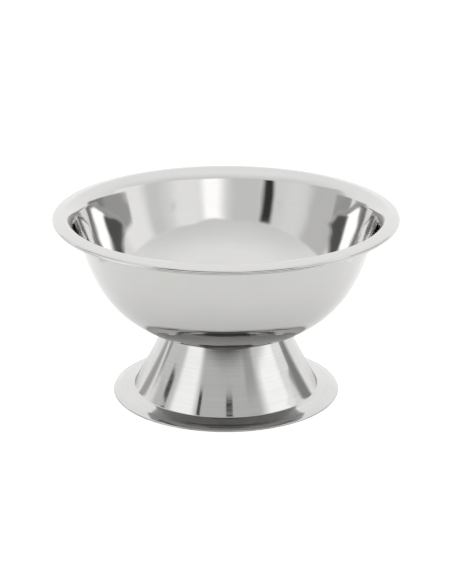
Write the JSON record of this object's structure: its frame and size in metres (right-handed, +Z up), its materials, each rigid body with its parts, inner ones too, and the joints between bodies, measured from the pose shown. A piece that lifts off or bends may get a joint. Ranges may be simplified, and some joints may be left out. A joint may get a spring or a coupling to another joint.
{
  "type": "punch bowl",
  "caption": "Wide stainless steel punch bowl with a crowned flat rim and rolled edge, welded to a flared conical pedestal foot.",
  "frame": {"origin": "centre of the foot on the table plane", "axes": "+Z up along the bowl's axis of revolution"},
  "size_m": [0.4556, 0.4555, 0.2486],
  "materials": {
    "bowl_steel": "polished stainless steel, mirror inside, satin rim",
    "pedestal_steel": "spin-polished stainless steel with fine turning lines round the cone",
    "weld_steel": "fused stainless steel, inside the joint"
  },
  "bodies": {
    "root": {"bowl": "bowl_steel", "pedestal": "pedestal_steel", "spot_welds": "weld_steel"}
  },
  "joints": []
}
